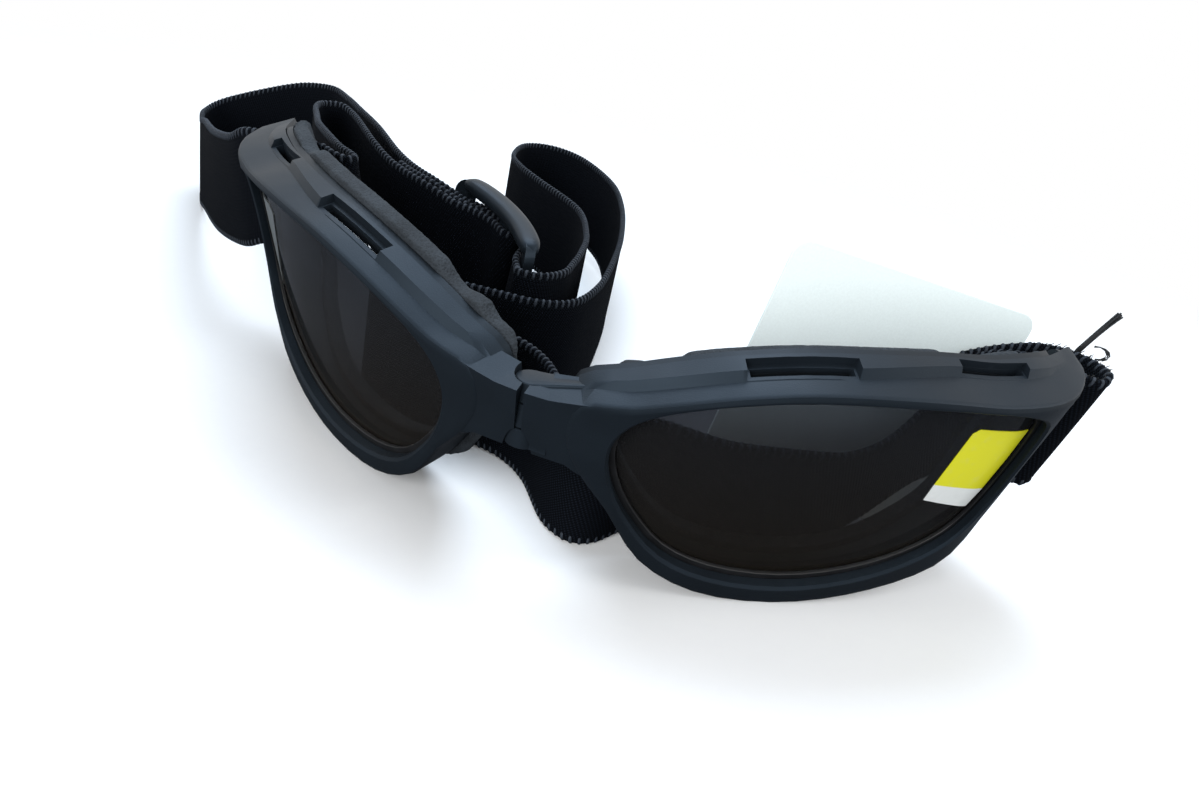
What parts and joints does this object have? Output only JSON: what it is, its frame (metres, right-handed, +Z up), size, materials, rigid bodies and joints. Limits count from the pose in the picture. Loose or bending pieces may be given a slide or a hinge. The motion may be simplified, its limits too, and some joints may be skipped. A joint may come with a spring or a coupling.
{
  "type": "folding goggles",
  "caption": "Wraparound eye goggles whose two lens frames fold together at a hinge on the bridge, with foam face seals and an elastic head strap on a slider.",
  "frame": {"origin": "on the table that the goggles stand on, on the mirror plane between the two halves, level with the bridge's front corner", "axes": "+X towards the right of the picture, +Y back towards the wearer, +Z up"},
  "size_m": [0.2369, 0.1819, 0.0533],
  "materials": {
    "frame": "fine matte moulded",
    "lens": "polished smoke brown tint",
    "gasket": "matte",
    "carrier": "matte moulded",
    "foam": "soft closed-cell foam",
    "pin": "satin",
    "webbing": "woven elastic",
    "slider": "satin moulded",
    "sticker_yellow": "printed film, bare",
    "sticker_silver": "film, bare",
    "card": "coated card, bare"
  },
  "bodies": {
    "right_half": {"frame_right": "frame", "lens_right": "lens", "lens_seal_right": "gasket", "foam_carrier_right": "carrier", "foam_pad_right": "foam", "hinge_pin": "pin", "lens_sticker_right": "sticker_yellow", "hang_tag": "card"},
    "left_half": {"frame_left": "frame", "lens_left": "lens", "lens_seal_left": "gasket", "foam_carrier_left": "carrier", "foam_pad_left": "foam", "lens_sticker_left": "sticker_silver", "strap": "webbing"},
    "slider": {"strap_slider": "slider"}
  },
  "joints": [
    {"name": "bridge_hinge", "type": "hinge", "parent": "right_half", "child": "left_half", "pos_m": [0, 0.0043, 0.03], "axis": [0, 0, 1], "range_deg": [-60, 0], "deforming": ["strap", "hang_tag"]},
    {"name": "slider_slide", "type": "slide", "parent": "left_half", "child": "slider", "axis": [-0.7712, 0.621, 0.1402], "range_m": [0, 0.012], "deforming": ["strap"]}
  ]
}
